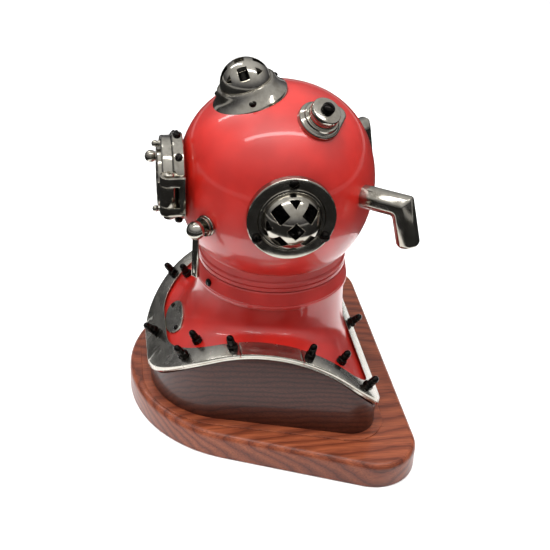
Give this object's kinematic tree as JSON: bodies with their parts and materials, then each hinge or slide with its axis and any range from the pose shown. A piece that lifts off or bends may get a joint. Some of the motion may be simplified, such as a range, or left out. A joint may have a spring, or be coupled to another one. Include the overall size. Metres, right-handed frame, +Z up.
{
  "type": "miniature diving helmet on a stand",
  "caption": "Small decorative deep-sea diving helmet in red enamel with plated lights, valves and clamped breastplate rim, standing on a two-tier wooden base.",
  "frame": {"origin": "where the neck axis meets the underside of the plinth", "axes": "+Z up, -Y towards the front of the helmet (the face light), +X towards the diver's left"},
  "size_m": [0.209, 0.1571, 0.2083],
  "materials": {
    "varnished_wood": "clear gloss varnish over dark hardwood",
    "red_paint": "gloss enamel on spun sheet metal",
    "bright_nickel": "polished cast brass with nickel plating",
    "black_nickel": "dark plated turned metal",
    "dark_glass": "dark tinted glass",
    "black_rubber": "matt black"
  },
  "bodies": {
    "stand": {"plinth": "varnished_wood", "riser_block": "varnished_wood", "stand_screws": "black_nickel", "gasket_band": "black_rubber", "breastplate": "red_paint", "breastplate_ring": "red_paint", "lock_screw": "black_nickel", "strap_front": "bright_nickel", "strap_back": "bright_nickel", "strap_left": "bright_nickel", "strap_right": "bright_nickel", "strap_studs": "black_nickel", "strap_hex_nuts": "black_nickel", "strap_cap_nuts": "black_nickel", "rim_studs": "black_nickel", "rim_hex_nuts": "black_nickel", "rim_cap_nuts": "black_nickel", "chest_plate": "bright_nickel", "chest_plate_screws": "black_nickel"},
    "helmet": {"clamp_lug": "bright_nickel", "dome": "red_paint", "exhaust_body": "bright_nickel", "face_flange": "bright_nickel", "face_flange_screws": "black_nickel", "helmet_ring": "red_paint", "hinge_bracket": "bright_nickel", "hinge_nut": "black_nickel", "hinge_pin": "bright_nickel", "left_elbow": "bright_nickel", "left_light_frame": "bright_nickel", "left_light_gasket": "black_rubber", "left_light_glass": "dark_glass", "left_light_guard": "bright_nickel", "left_light_screws": "black_nickel", "right_elbow": "bright_nickel", "right_light_frame": "bright_nickel", "right_light_gasket": "black_rubber", "right_light_glass": "dark_glass", "right_light_guard": "bright_nickel", "right_light_screws": "black_nickel", "spitcock_body": "bright_nickel", "top_light_frame": "bright_nickel", "top_light_gasket": "black_rubber", "top_light_glass": "dark_glass", "top_light_guard": "bright_nickel", "top_light_screws": "black_nickel"},
    "face_door": {"door_ring": "bright_nickel", "door_glass": "dark_glass", "door_grille": "bright_nickel", "door_gasket": "black_rubber", "door_acorn_bolts": "bright_nickel"},
    "door_clamp": {"clamp_screw": "bright_nickel"},
    "spitcock": {"spitcock_handle": "bright_nickel"},
    "exhaust_adjuster": {"exhaust_knob": "black_nickel"}
  },
  "joints": [
    {"name": "neck_turn", "type": "hinge", "parent": "stand", "child": "helmet", "pos_m": [0, 0, 0.0897], "axis": [0, 0, 1], "range_deg": [0, 45]},
    {"name": "door_hinge", "type": "hinge", "parent": "helmet", "child": "face_door", "pos_m": [0.024, -0.0608, 0.1429], "axis": [0, 0, 1], "range_deg": [0, 110]},
    {"name": "clamp_turn", "type": "hinge", "parent": "face_door", "child": "door_clamp", "pos_m": [-0.028, -0.066, 0.1404], "axis": [0, -1, 0], "continuous": true},
    {"name": "spitcock_turn", "type": "hinge", "parent": "helmet", "child": "spitcock", "pos_m": [0.04024, -0.04795, 0.1298], "axis": [0.6428, -0.766, 0], "range_deg": [0, 90]},
    {"name": "exhaust_turn", "type": "hinge", "parent": "helmet", "child": "exhaust_adjuster", "pos_m": [0.0326, 0.01847, 0.19273], "axis": [0.4939, 0.2799, 0.8232], "continuous": true}
  ]
}
